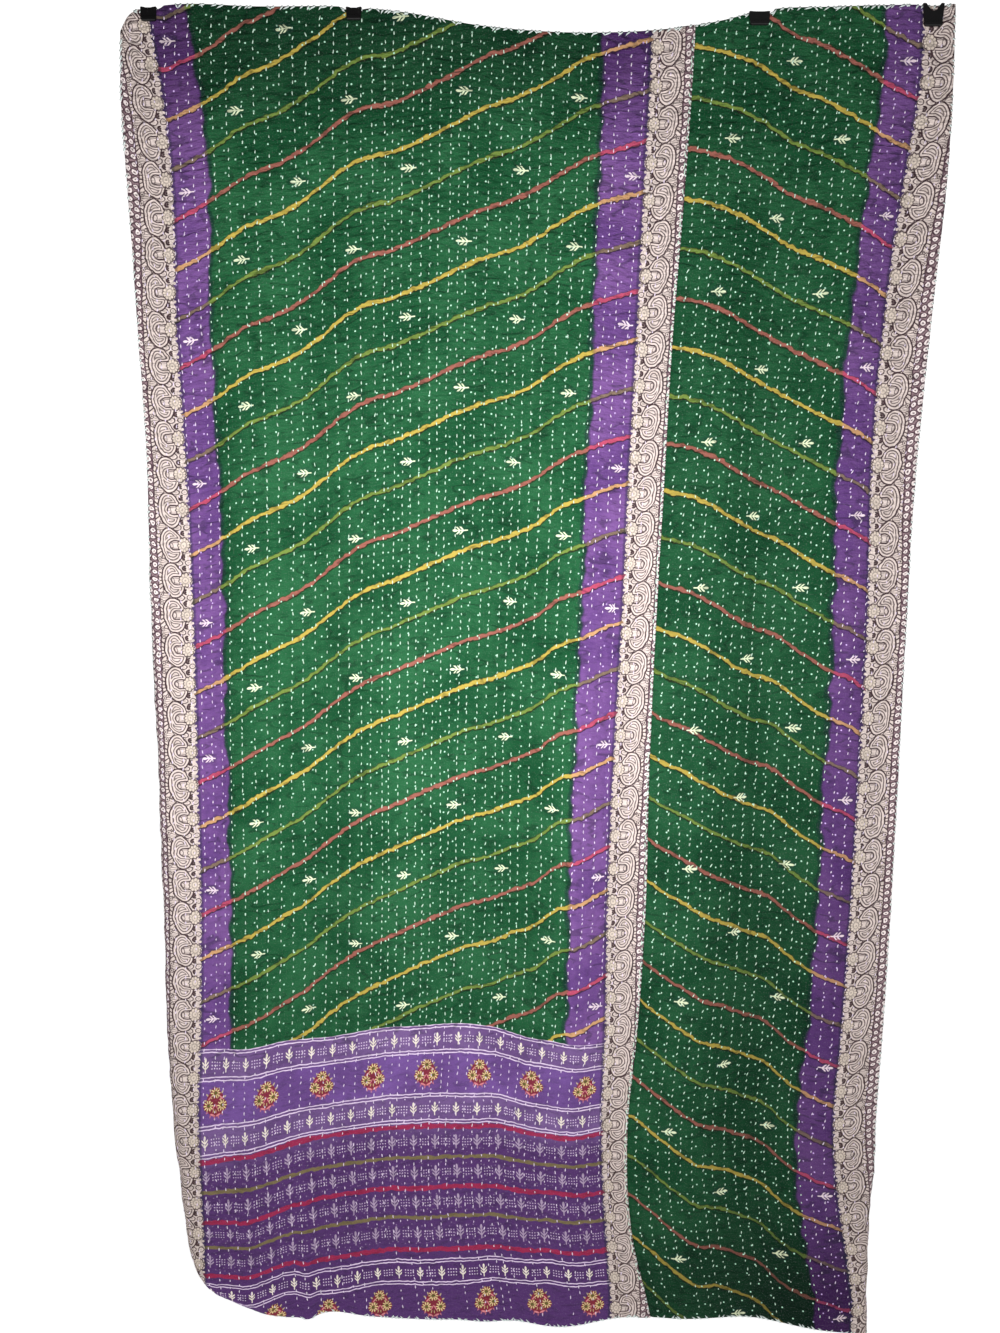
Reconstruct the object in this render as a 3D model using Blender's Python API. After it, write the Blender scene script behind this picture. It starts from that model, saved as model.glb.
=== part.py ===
"""Kantha quilt hung face-on from four hanger clips.

Two stitched panels, each several layers of soft cotton, are lapped along one
long seam. The quilt hangs from its top edge by two pairs of clips: the edge
sags between the pairs, soft folds run down the cloth and both bottom corners
roll back. The front faces -Y, +X is to the right of someone facing it, and the
origin is on the line of the clips, in the middle of the top edge.
"""
import math

import bmesh
import bpy
import numpy as np

# ---------------------------------------------------------------- cloth sizes
DROP = 2.29            # length of the quilt, top hem to bottom hem
ROW_PITCH = 0.018      # one row of running stitch to the next
PUFF = 0.0040          # thickness between two rows of stitching
STITCHED = 0.0026      # thickness where a row pulls the layers together
PUFF_UNEVEN = 0.0004   # how far the puffs differ along their length
HEM = 0.0036           # thickness of the hemmed edges
LAP = 0.018            # how far the wide panel laps over the narrow one
GAP = 0.0003           # clearance between pieces that touch

# Drops of the rows of points, closer together where the cloth turns.
ROWS_DOWN = [0.0, 0.018, 0.06, 0.14, 0.28, 0.48, 0.72, 0.98, 1.24, 1.50, 1.72, 1.90,
             2.03, 2.11, 2.165, 2.205, 2.24, 2.267, DROP]

# The cloth before its edges roll back: where each edge and the seam stand, at a
# drop below the clips.
SECTIONS = [
    # drop,   left,  seam, right
    (0.00, -0.676, 0.256, 0.677),
    (0.10, -0.679, 0.252, 0.679),
    (0.25, -0.674, 0.244, 0.677),
    (0.50, -0.665, 0.228, 0.660),
    (0.75, -0.657, 0.218, 0.646),
    (1.00, -0.661, 0.208, 0.641),
    (1.25, -0.665, 0.201, 0.638),
    (1.50, -0.667, 0.198, 0.634),
    (1.75, -0.674, 0.185, 0.627),
    (1.90, -0.680, 0.172, 0.622),
    (2.05, -0.680, 0.174, 0.632),
    (2.15, -0.680, 0.186, 0.650),
    (2.25, -0.682, 0.209, 0.668),
    (2.33, -0.682, 0.225, 0.680),
]

# The top edge falls away at the free left corner and sags between the clips.
TOP_EDGE = [
    # across, below the clips
    (-0.680, 0.050),
    (-0.664, 0.020),
    (-0.648, 0.009),
    (-0.600, 0.002),
    (-0.450, 0.004),
    (-0.300, 0.005),
    (-0.222, 0.012),
    (-0.092, 0.033),
    (0.102, 0.044),
    (0.232, 0.036),
    (0.297, 0.026),
    (0.361, 0.011),
    (0.491, 0.004),
    (0.680, 0.000),
]

BOTTOM_EDGE = [
    # across, below the clips
    (-0.680, 2.215),
    (-0.645, 2.247),
    (-0.590, 2.270),
    (-0.500, 2.282),
    (-0.340, 2.284),
    (-0.250, 2.281),
    (-0.100, 2.299),
    (0.050, 2.298),
    (0.130, 2.298),
    (0.240, 2.282),
    (0.380, 2.293),
    (0.520, 2.304),
    (0.600, 2.322),
    (0.680, 2.345),
]

# Soft folds that run down the cloth: a ridge stands forward, a trough back.
FOLDS = [
    # across at top, at bottom, half width, forward at top, middle, bottom
    (-0.580, -0.560, 0.050, 0.002, -0.008, -0.004),
    (-0.500, -0.480, 0.055, 0.005, 0.016, 0.009),
    (-0.395, -0.370, 0.050, -0.004, -0.014, -0.012),
    (-0.250, -0.240, 0.075, 0.004, 0.016, 0.009),
    (-0.140, -0.130, 0.040, 0.002, 0.006, -0.006),
    (-0.030, -0.040, 0.048, -0.005, -0.017, -0.009),
    (0.080, 0.050, 0.055, 0.005, 0.018, 0.010),
    (0.190, 0.150, 0.050, -0.003, -0.012, -0.009),
    (0.310, 0.270, 0.058, 0.004, 0.018, 0.010),
    (0.425, 0.400, 0.058, -0.006, -0.020, -0.011),
    (0.540, 0.520, 0.058, 0.003, 0.016, 0.009),
    (0.650, 0.620, 0.045, -0.002, -0.008, -0.004),
]
FOLDS_START = 0.35     # the folds reach their depth this far below the clips

# A small sharp tuck near the bottom of the wide panel.
TUCK_ACROSS = -0.412
TUCK_WIDTH = 0.014
TUCK_DEPTH = 0.011
TUCK_FROM, TUCK_TO = 1.95, 2.20

# Where the cloth turns and rolls back, from the side down to the bottom edge.
ROLL_TURN = math.radians(115)
LEFT_ROLL_RADIUS = 0.022
LEFT_ROLL = [
    # across, drop
    (-0.690, 0.50),
    (-0.657, 0.75),
    (-0.646, 1.00),
    (-0.639, 1.25),
    (-0.639, 1.50),
    (-0.639, 1.75),
    (-0.635, 1.90),
    (-0.626, 2.03),
    (-0.619, 2.11),
    (-0.608, 2.180),
    (-0.586, 2.226),
    (-0.548, 2.249),
    (-0.498, 2.262),
    (-0.440, 2.275),
    (-0.380, 2.305),
    (-0.330, 2.345),
]
RIGHT_ROLL_RADIUS = 0.014
RIGHT_ROLL = [
    # across, drop
    (0.655, 1.70),
    (0.632, 1.84),
    (0.617, 1.95),
    (0.609, 2.05),
    (0.606, 2.15),
    (0.608, 2.25),
    (0.612, 2.40),
]

# ----------------------------------------------------------------- clip sizes
CLIPS = [
    # name, across, width at the top, width at the lips, top and foot below the
    # clips' line, depth of the dip in the top, dip's width at its mouth and floor
    ("clip_outer_left", -0.6285, 0.0260, 0.0245, 0.0050, 0.0273, 0.0020, 0.0220, 0.0080),
    ("clip_inner_left", -0.2965, 0.0255, 0.0235, 0.0053, 0.0256, 0.0020, 0.0200, 0.0100),
    ("clip_inner_right", 0.3600, 0.0335, 0.0310, 0.0118, 0.0334, 0.0012, 0.0270, 0.0140),
    ("clip_outer_right", 0.6410, 0.0345, 0.0290, -0.0005, 0.0352, 0.0125, 0.0255, 0.0070),
]
CLIP_CLEAR = 0.0006    # cloth face to the inner face of a jaw
JAW = 0.0026           # thickness of a jaw at its root
LIP = 0.0046           # thickness of a jaw at its lip
LIP_HEIGHT = 0.0058    # height of the thick lip
LIP_TAPER = 0.0012     # height over which a lip thins to its jaw
LIP_BEVEL = 0.0014     # bevel along the lower edge of a lip
BRIDGE_BEVEL = 0.0012  # bevel along the bridge's two upper edges
CORNER = 0.0030        # radius of a clip's two lower corners
HORN = 0.0010          # bevel of its two upper corners
BRIDGE = 0.0032        # thickness of the bridge over the edge of the cloth
PRESS_SIDE = 0.009     # how far past a clip's sides it presses the edge down
PRESS_EASE = 0.007     # width over which the edge rises again
CUTTER_OVER = 0.002    # how far the plate that trims a clip stands past it


def clear_scene():
    for thing in list(bpy.data.objects):
        bpy.data.objects.remove(thing, do_unlink=True)


def material(name, colour, roughness, metallic=0.0):
    """A plain finish: colour, roughness and metallic value."""
    finish = bpy.data.materials.new(name)
    finish.use_nodes = True
    shader = finish.node_tree.nodes["Principled BSDF"]
    shader.inputs["Base Color"].default_value = (*colour, 1.0)
    shader.inputs["Roughness"].default_value = roughness
    shader.inputs["Metallic"].default_value = metallic
    return finish


def column(table, number):
    return np.array([row[number] for row in table])


def smooth_through(places, values, at):
    """A smooth curve through the table's points, level past both ends."""
    slopes = np.gradient(values, places)
    left = np.clip(np.searchsorted(places, at) - 1, 0, len(places) - 2)
    width = places[left + 1] - places[left]
    t = np.clip((at - places[left]) / width, 0.0, 1.0)
    start = (1 + 2 * t) * (1 - t) ** 2 * values[left]
    start = start + t * (1 - t) ** 2 * width * slopes[left]
    end = t ** 2 * (3 - 2 * t) * values[left + 1]
    end = end + t ** 2 * (t - 1) * width * slopes[left + 1]
    return start + end


def ease(t):
    t = np.clip(t, 0.0, 1.0)
    return t * t * (3 - 2 * t)


def edge_at(number, drop):
    """Across position of the left edge, seam or right edge at a drop."""
    return smooth_through(column(SECTIONS, 0), column(SECTIONS, number), drop)


def top_edge(across):
    """How far below the clips' line the top edge lies, pressed down in each clip."""
    edge = smooth_through(column(TOP_EDGE, 0), column(TOP_EDGE, 1), across)
    for _, middle, wide, _, top, *_ in CLIPS:
        past = np.abs(across - middle) - wide / 2 - PRESS_SIDE
        pressed = top + BRIDGE + GAP
        edge = edge + (pressed - edge) * ease(1 - past / PRESS_EASE)
    return edge


def bottom_edge(across):
    return smooth_through(column(BOTTOM_EDGE, 0), column(BOTTOM_EDGE, 1), across)


def folds(across, drop):
    """How far the cloth stands forward of the line of the clips."""
    down = drop / DROP
    forward = np.zeros_like(across)
    for top, bottom, width, at_top, at_middle, at_bottom in FOLDS:
        middle = top + (bottom - top) * down
        depth = smooth_through(
            np.array([0.0, 0.5, 1.0]), np.array([at_top, at_middle, at_bottom]), down)
        forward = forward + depth * np.exp(-((across - middle) / width) ** 2)
    tuck = np.exp(-((across - TUCK_ACROSS) / TUCK_WIDTH) ** 2)
    forward = forward + TUCK_DEPTH * tuck * ease((drop - TUCK_FROM) / (TUCK_TO - TUCK_FROM))
    return forward * ease(drop / FOLDS_START)


def roll_back(x, y, z, line, radius, side):
    """Bend the cloth that lies past a line round a small radius to the back."""
    steps = np.linspace(0, len(line) - 1, 40 * len(line))
    marks = np.arange(len(line), dtype=float)
    line_x = smooth_through(marks, column(line, 0), steps)
    line_z = -smooth_through(marks, column(line, 1), steps)
    along_x = np.gradient(line_x)
    along_z = np.gradient(line_z)
    length = np.hypot(along_x, along_z)
    out_x = -side * along_z / length
    out_z = side * along_x / length
    apart = (x[..., None] - line_x) ** 2 + (z[..., None] - line_z) ** 2
    near = np.argmin(apart, axis=-1)
    past = (x - line_x[near]) * out_x[near] + (z - line_z[near]) * out_z[near]
    foot_x = x - past * out_x[near]
    foot_z = z - past * out_z[near]
    past = np.maximum(past, 0.0)
    turn = np.minimum(past / radius, ROLL_TURN)
    straight = past - turn * radius
    reach = radius * np.sin(turn) + straight * math.cos(ROLL_TURN)
    back = radius * (1 - np.cos(turn)) + straight * math.sin(ROLL_TURN)
    rolled = past > 0
    new_x = np.where(rolled, foot_x + reach * out_x[near], x)
    new_z = np.where(rolled, foot_z + reach * out_z[near], z)
    return new_x, y + np.where(rolled, back, 0.0), new_z


def hung(across, drop):
    """Place of the cloth's middle layer for a point of the flat quilt."""
    down = drop / DROP
    high = top_edge(across)
    z = -(high + down * (bottom_edge(across) - high))
    x, y, z = roll_back(across, -folds(across, drop), z, LEFT_ROLL, LEFT_ROLL_RADIUS, -1)
    x, y, z = roll_back(x, y, z, RIGHT_ROLL, RIGHT_ROLL_RADIUS, 1)
    return np.stack([x, y, z], axis=-1)


def facing(across, drop):
    """Unit vector that points out of the quilt's front at each place."""
    step = 0.001
    over = hung(across + step, drop) - hung(across - step, drop)
    down = hung(across, drop + step) - hung(across, drop - step)
    normal = np.cross(down, over)
    return normal / np.linalg.norm(normal, axis=-1, keepdims=True)


def rows_over(width):
    """An even number of columns: a stitched line, a puff, a stitched line."""
    return 2 * round(width / ROW_PITCH)


def relief(columns, rows):
    """Half thickness at each point: thin on a row of stitches, thick between."""
    row, col = np.meshgrid(np.arange(rows), np.arange(columns + 1), indexing="ij")
    uneven = PUFF_UNEVEN * np.sin(1.9 * row + 2.3 * col)
    half = np.where(col % 2 == 0, STITCHED / 2, PUFF / 2 + uneven / 2)
    half[:, 0] = HEM / 2
    half[:, -1] = HEM / 2
    half[:2, :] = HEM / 2
    half[-2:, :] = HEM / 2
    return half


def closed_sheet(name, front, back, finish):
    """One closed body from two grids of points, joined round their rims."""
    rows, cols = front.shape[:2]
    mesh = bmesh.new()
    face = [[mesh.verts.new(front[i, j]) for j in range(cols)] for i in range(rows)]
    rear = [[mesh.verts.new(back[i, j]) for j in range(cols)] for i in range(rows)]
    for i in range(rows - 1):
        for j in range(cols - 1):
            mesh.faces.new((face[i][j], face[i + 1][j], face[i + 1][j + 1], face[i][j + 1]))
            mesh.faces.new((rear[i][j], rear[i][j + 1], rear[i + 1][j + 1], rear[i + 1][j]))
    for j in range(cols - 1):
        mesh.faces.new((face[0][j], face[0][j + 1], rear[0][j + 1], rear[0][j]))
        mesh.faces.new((face[-1][j + 1], face[-1][j], rear[-1][j], rear[-1][j + 1]))
    for i in range(rows - 1):
        mesh.faces.new((face[i + 1][0], face[i][0], rear[i][0], rear[i + 1][0]))
        mesh.faces.new((face[i][-1], face[i + 1][-1], rear[i + 1][-1], rear[i][-1]))
    bmesh.ops.recalc_face_normals(mesh, faces=mesh.faces[:])
    data = bpy.data.meshes.new(name)
    mesh.to_mesh(data)
    mesh.free()
    data.shade_smooth()
    panel = bpy.data.objects.new(name, data)
    panel.data.materials.append(finish)
    bpy.context.scene.collection.objects.link(panel)
    return panel


def panel(name, across, half, ahead, finish):
    """A panel from its columns' places, half thickness and shift to the front."""
    down = np.repeat(np.array(ROWS_DOWN)[:, None], across.shape[1], axis=1)
    middle = hung(across, down)
    out = facing(across, down)
    front = middle + out * (ahead + half)[..., None]
    back = middle + out * (ahead - half)[..., None]
    return closed_sheet(name, front, back, finish)


def wide_panel(finish):
    """The full-width length of cloth, its right edge lapped over the seam."""
    down = np.array(ROWS_DOWN)
    left = edge_at(1, down)
    seam = edge_at(2, down)
    columns = rows_over(seam[0] - left[0] - LAP)
    share = np.linspace(0, 1, columns + 1)
    across = left[:, None] + (seam - LAP - left)[:, None] * share
    lap = seam[:, None] + np.array([-LAP / 2, 0.0])
    across = np.concatenate([across, lap], axis=1)
    half = relief(columns + 2, len(down))
    half[:, -3:] = HEM / 2
    ahead = np.zeros_like(half)
    ahead[:, -3:] = (HEM + GAP) / 2
    return panel(name="quilt_panel_wide", across=across, half=half, ahead=ahead, finish=finish)


def narrow_panel(finish):
    """The part-width length, its left edge sewn down under the wide panel."""
    down = np.array(ROWS_DOWN)
    seam = edge_at(2, down)
    right = edge_at(3, down)
    columns = rows_over(right[0] - seam[0])
    share = np.linspace(0, 1, columns + 1)[1:]
    lap = seam[:, None] + np.array([-LAP, -LAP / 2, 0.0])
    across = np.concatenate([lap, seam[:, None] + (right - seam)[:, None] * share], axis=1)
    half = relief(columns + 2, len(down))
    half[:, :3] = HEM / 2
    ahead = np.zeros_like(half)
    ahead[:, :3] = -(HEM + GAP) / 2
    return panel(name="quilt_panel_narrow", across=across, half=half, ahead=ahead, finish=finish)


def prism(name, corners, shift, finish):
    """A solid from a flat outline moved straight across by a shift."""
    mesh = bmesh.new()
    end = mesh.faces.new([mesh.verts.new(corner) for corner in corners])
    grown = bmesh.ops.extrude_face_region(mesh, geom=[end])
    moved = [part for part in grown["geom"] if isinstance(part, bmesh.types.BMVert)]
    bmesh.ops.translate(mesh, verts=moved, vec=shift)
    bmesh.ops.recalc_face_normals(mesh, faces=mesh.faces[:])
    data = bpy.data.meshes.new(name)
    mesh.to_mesh(data)
    mesh.free()
    piece = bpy.data.objects.new(name, data)
    if finish:
        piece.data.materials.append(finish)
    bpy.context.scene.collection.objects.link(piece)
    return piece


def clip(name, across, wide, narrow, top, foot, dip, mouth, floor, finish):
    """A moulded clip: two jaws with thick lips, joined over the cloth by a bridge."""
    inner = HEM / 2 + CLIP_CLEAR
    seat = -top - BRIDGE
    lip_top = -foot + LIP_HEIGHT
    side = [
        (-inner, seat),
        (-inner, -foot),
        (-inner - LIP + LIP_BEVEL, -foot),
        (-inner - LIP, -foot + LIP_BEVEL),
        (-inner - LIP, lip_top),
        (-inner - JAW, lip_top + LIP_TAPER),
        (-inner - JAW, -top - BRIDGE_BEVEL),
        (-inner - JAW + BRIDGE_BEVEL, -top),
    ]
    side = side + [(-y, z) for y, z in reversed(side)]
    start = across - wide / 2 - CUTTER_OVER
    profile = [(start, y, z) for y, z in side]
    piece = prism(name, profile, (wide + 2 * CUTTER_OVER, 0, 0), finish)
    plate = clip_plate(name, across, wide, narrow, top, foot, dip, mouth, floor)
    trim = piece.modifiers.new("front_outline", "BOOLEAN")
    trim.operation = "INTERSECT"
    trim.solver = "EXACT"
    trim.object = plate
    return piece


def clip_plate(name, across, wide, narrow, top, foot, dip, mouth, floor):
    """A thick plate with a clip's front outline, which trims the clip to shape."""
    turn = CORNER * (1 - math.sqrt(0.5))
    half = [
        (floor / 2, -top - dip),
        (mouth / 2, -top),
        (mouth / 2, -top + CUTTER_OVER),
        (wide / 2 - HORN, -top + CUTTER_OVER),
        (wide / 2 - HORN, -top),
        (wide / 2, -top - HORN),
        (narrow / 2, -foot + CORNER),
        (narrow / 2 - turn, -foot + turn),
        (narrow / 2 - CORNER, -foot),
    ]
    deep = HEM / 2 + CLIP_CLEAR + LIP + CUTTER_OVER
    outline = [(across - x, -deep, z) for x, z in half]
    outline = outline + [(across + x, -deep, z) for x, z in reversed(half)]
    plate = prism(name + "_outline", outline, (0, 2 * deep, 0), None)
    plate.hide_render = True
    plate.display_type = "WIRE"
    return plate


clear_scene()
cotton = material("stitched_cotton", (0.035, 0.150, 0.070), 0.85)
lapped_cotton = material("stitched_cotton_narrow", (0.030, 0.130, 0.060), 0.85)
black_clip = material("black_plastic", (0.012, 0.012, 0.013), 0.45)
wide_panel(cotton)
narrow_panel(lapped_cotton)
for clip_name, *clip_sizes in CLIPS:
    clip(clip_name, *clip_sizes, black_clip)
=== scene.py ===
# A kantha quilt: two lengths of printed cotton, a wide one and a narrow one, lapped and
# sewn together, quilted through with rows of white running stitch and hung from four
# clips. Metres, +Z up. The clips' line is Z = 0 and the front faces -Y.
import math
from functools import partialmethod

import bpy
import numpy as np
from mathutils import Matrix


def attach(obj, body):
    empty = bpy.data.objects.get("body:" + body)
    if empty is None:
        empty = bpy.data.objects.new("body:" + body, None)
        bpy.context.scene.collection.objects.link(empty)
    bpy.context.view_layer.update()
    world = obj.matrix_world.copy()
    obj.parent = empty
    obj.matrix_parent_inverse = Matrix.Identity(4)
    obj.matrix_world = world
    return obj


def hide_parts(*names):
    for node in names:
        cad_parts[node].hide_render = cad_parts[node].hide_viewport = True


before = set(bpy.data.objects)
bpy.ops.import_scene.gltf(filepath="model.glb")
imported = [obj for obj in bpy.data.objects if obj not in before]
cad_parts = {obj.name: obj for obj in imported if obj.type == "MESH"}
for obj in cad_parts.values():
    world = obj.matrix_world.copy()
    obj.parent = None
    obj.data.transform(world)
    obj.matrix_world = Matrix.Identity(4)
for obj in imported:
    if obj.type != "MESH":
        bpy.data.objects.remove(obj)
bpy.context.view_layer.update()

# ---- view ----
# A short lens a little left of the middle of the quilt, tipped down slightly.
VIEW_PLACE = (-0.06, -1.719, -0.903)
VIEW_TIP = math.radians(5.8)
LENS = 27.0
scene = bpy.context.scene


def placed(name, data):
    """A new object in the scene."""
    made = bpy.data.objects.new(name, data)
    scene.collection.objects.link(made)
    return made


viewer = placed("view", bpy.data.cameras.new("view"))
viewer.data.lens = LENS
viewer.location = VIEW_PLACE
viewer.rotation_euler = (math.radians(90) - VIEW_TIP, 0, 0)
scene.camera = viewer
scene.view_settings.view_transform = "Standard"

# ---- wide panel ----
# The full-width length of cotton, printed in green, violet and cream, with several
# thin layers quilted together. It hangs in soft upright folds from the clips, and its
# bottom left corner and lower left edge turn back. Its right edge laps the seam.
DROP = 2.29  # top edge to bottom edge, down the middle
LAP = 0.018  # overlap of the two panels at the seam
GAP = 0.0003  # between the two panels in the lap
HEM = 0.0036  # thickness of the turned edges
STITCHED = 0.0026  # thickness of the layers under a row of stitches
PUFF = 0.004  # and between two rows


def mm(rows):
    """A table in millimetres."""
    return np.array(rows) / 1000


ROW_SPACING = mm([
    # across, from one row of stitches to the next
    (-680, 17), (-550, 19), (-520, 20.5), (-290, 20.5), (-260, 14.8), (-120, 14.8), (-90, 20.5),
    (-50, 14), (-20, 15), (0, 20), (160, 20.5), (200, 17), (280, 20), (640, 19),
])
SECTIONS = mm([
    # drop, left edge, seam, right edge
    (0, -676, 256, 677), (100, -679, 252, 679), (250, -674, 244, 677), (500, -665, 228, 660),
    (750, -657, 218, 646), (1000, -661, 208, 641), (1250, -665, 201, 638), (1500, -667, 198, 634),
    (1750, -674, 185, 627), (1900, -680, 172, 622), (2050, -680, 174, 632),
    (2150, -680, 186, 650), (2250, -682, 209, 668), (2330, -682, 225, 680),
])
TOP_EDGE = mm([
    # across, sag below the clips' line
    (-680, 50), (-664, 20), (-648, 9), (-600, 2), (-450, 4), (-300, 5), (-222, 12), (-92, 33),
    (102, 44), (232, 36), (297, 26), (361, 11), (491, 4), (680, 0),
])
PRESSED = mm([
    # middle and width of each clip, and how far down it presses the top edge
    (-628.5, 26, 8.5), (-296.5, 25.5, 8.8), (360, 33.5, 15.3), (641, 34.5, 3),
])
PRESS_SIDE = 0.003  # how far past a clip's sides the edge is still down
PRESS_EASE = 0.007  # width over which it rises again
BOTTOM_EDGE = mm([
    # across, drop
    (-680, 2215), (-645, 2247), (-590, 2270), (-500, 2282), (-340, 2284), (-250, 2281),
    (-100, 2299), (50, 2298), (130, 2298), (240, 2282), (380, 2293), (520, 2304), (600, 2322),
    (680, 2345),
])
FOLDS = mm([
    # across at top, across at bottom, half width, forward at top, middle and bottom
    (-580, -560, 50, 2, -8, -4), (-500, -480, 55, 5, 16, 9), (-395, -370, 50, -4, -14, -12),
    (-250, -240, 75, 4, 16, 9), (-140, -130, 40, 2, 6, -6), (-30, -40, 48, -5, -17, -9),
    (80, 50, 55, 5, 18, 10), (190, 150, 50, -3, -12, -9), (310, 270, 58, 4, 18, 10),
    (425, 400, 58, -6, -20, -11), (540, 520, 58, 3, 16, 9), (650, 620, 45, -2, -8, -4),
])
FOLDS_START = 0.35  # the folds reach their full depth this far down
TUCK_ACROSS = -0.412  # one sharper fold low on the left
TUCK_WIDTH = 0.014
TUCK_DEPTH = 0.011
TUCK_FROM, TUCK_TO = 1.95, 2.2
ROLL_TURN = math.radians(115)
LEFT_ROLL_RADIUS = 0.022
LEFT_ROLL = mm([
    # across, drop of the line past which the cloth turns back
    (-690, 500), (-657, 750), (-646, 1000), (-639, 1250), (-639, 1500), (-639, 1750),
    (-635, 1900), (-626, 2030), (-619, 2110), (-608, 2180), (-586, 2226), (-548, 2249),
    (-498, 2262), (-440, 2275), (-380, 2305), (-330, 2345),
])
RIGHT_ROLL_RADIUS = 0.014
RIGHT_ROLL = mm([
    (655, 1700), (632, 1840), (617, 1950), (609, 2050), (606, 2150), (608, 2250), (612, 2400),
])
CRUMPLE = 0.0011  # how far the quilted layers cockle to either side
COCKLES = [
    # cell across, cell down, share, seed
    (0.034, 0.017, 1.0, 3), (0.013, 0.024, 0.7, 4), (0.09, 0.05, 0.8, 5),
]


def smooth_through(places, values, at):
    """A smooth curve through the values at their places, level past both ends."""
    slopes = np.gradient(values, places)
    left = np.clip(np.searchsorted(places, at) - 1, 0, len(places) - 2)
    width = places[left + 1] - places[left]
    t = np.clip((at - places[left]) / width, 0.0, 1.0)
    start = (1 + 2 * t) * values[left] + t * width * slopes[left]
    end = (3 - 2 * t) * values[left + 1] + (t - 1) * width * slopes[left + 1]
    return (1 - t) ** 2 * start + t ** 2 * end


def curve(table, at, number=1):
    """A smooth curve through one column of a table, over its first."""
    return smooth_through(table[:, 0], table[:, number], at)


def ease(t):
    t = np.clip(t, 0.0, 1.0)
    return t * t * (3 - 2 * t)


def unit(vectors):
    return vectors / np.linalg.norm(vectors, axis=-1, keepdims=True)


def folds(across, drop):
    """How far the cloth stands forward of the clips' line."""
    down = drop / DROP
    forward = np.zeros_like(across)
    for top, bottom, width, *depths in FOLDS:
        depth = smooth_through(np.array([0.0, 0.5, 1.0]), np.array(depths), down)
        middle = top + (bottom - top) * down
        forward = forward + depth * np.exp(-((across - middle) / width) ** 2)
    tuck = np.exp(-((across - TUCK_ACROSS) / TUCK_WIDTH) ** 2)
    forward = forward + TUCK_DEPTH * tuck * ease((drop - TUCK_FROM) / (TUCK_TO - TUCK_FROM))
    return forward * ease(drop / FOLDS_START)


def roll_back(x, y, z, line, radius, side):
    """Turn the cloth past a line to the back, round a small radius."""
    marks = np.arange(len(line), dtype=float)
    steps = np.linspace(0, len(line) - 1, 16 * len(line))
    line_x = smooth_through(marks, line[:, 0], steps)
    line_z = -smooth_through(marks, line[:, 1], steps)
    along_x, along_z = np.gradient(line_x), np.gradient(line_z)
    long = np.hypot(along_x, along_z)
    near = np.empty(x.shape, dtype=int)
    for row in range(len(x)):
        apart = (x[row][:, None] - line_x) ** 2 + (z[row][:, None] - line_z) ** 2
        near[row] = np.argmin(apart, axis=-1)
    out_x = (-side * along_z / long)[near]
    out_z = (side * along_x / long)[near]
    past = (x - line_x[near]) * out_x + (z - line_z[near]) * out_z
    foot_x, foot_z = x - past * out_x, z - past * out_z
    rolled = past > 0
    past = np.maximum(past, 0.0)
    turn = np.minimum(past / radius, ROLL_TURN)
    straight = past - turn * radius
    reach = radius * np.sin(turn) + straight * math.cos(ROLL_TURN)
    back = radius * (1 - np.cos(turn)) + straight * math.sin(ROLL_TURN)
    new_x = np.where(rolled, foot_x + reach * out_x, x)
    return new_x, y + back, np.where(rolled, foot_z + reach * out_z, z)


def between(values, i, j, u, v):
    """A net's values, shares u and v on from row i and column j."""
    upper = values[i, j] * (1 - v) + values[i, j + 1] * v
    lower = values[i + 1, j] * (1 - v) + values[i + 1, j + 1] * v
    return upper * (1 - u) + lower * u


def uneven(across, drop, cell_over, cell_down, seed):
    """Smooth random swells from -1 to 1, with cells of the given size."""
    over = (across + 1.0) / cell_over
    down = (drop + 1.0) / cell_down
    size = (int(4.5 / cell_down), int(2.2 / cell_over))
    heights = np.random.default_rng(seed).uniform(-1, 1, size)
    i, j = np.floor(down).astype(int), np.floor(over).astype(int)
    return between(heights, i, j, ease(down - i), ease(over - j))


def below_clips(across, drop):
    """How far below the clips' line the cloth hangs, before it turns back."""
    high = curve(TOP_EDGE, across)
    for middle, width, pressed in PRESSED:
        past = np.abs(across - middle) - width / 2 - PRESS_SIDE
        high = high + (pressed - high) * ease(1 - past / PRESS_EASE)
    return high + drop / DROP * (curve(BOTTOM_EDGE, across) - high)


# The middle layer of the hung cloth, worked out once on a fine net.
NET_OVER = np.linspace(-0.7, 0.7, 421)
NET_DOWN = np.linspace(-0.012, 2.302, 387)


def hung_net():
    """Places and facings of the cloth over the net."""
    across, drop = np.meshgrid(NET_OVER, NET_DOWN)
    z = -below_clips(across, drop)
    x, y, z = roll_back(across, -folds(across, drop), z, LEFT_ROLL, LEFT_ROLL_RADIUS, -1)
    x, y, z = roll_back(x, y, z, RIGHT_ROLL, RIGHT_ROLL_RADIUS, 1)
    places = np.stack([x, y, z], axis=-1)
    normal = unit(np.cross(np.gradient(places, axis=0), np.gradient(places, axis=1)))
    cockle = sum(share * uneven(across, drop, *cells, seed) for *cells, share, seed in COCKLES)
    calm = ease(np.minimum(drop, DROP - drop) / 0.05)
    return places + normal * (CRUMPLE * calm * cockle)[..., None], normal


CLOTH, FACING = hung_net()


def read_net(values, over, down):
    """Values of a net at the given column and row numbers."""
    j = np.clip(np.floor(over).astype(int), 0, values.shape[1] - 2)
    i = np.clip(np.floor(down).astype(int), 0, values.shape[0] - 2)
    return between(values, i, j, (down - i)[..., None], (over - j)[..., None])


def number_at(places, at):
    """Numbers, with fractions, of points in a list of rising places."""
    return np.interp(at, places, np.arange(len(places)))


def on_cloth(across, drop):
    """Place and facing of the middle layer for points of the flat quilt."""
    over, down = number_at(NET_OVER, across), number_at(NET_DOWN, drop)
    return read_net(CLOTH, over, down), unit(read_net(FACING, over, down))


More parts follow.
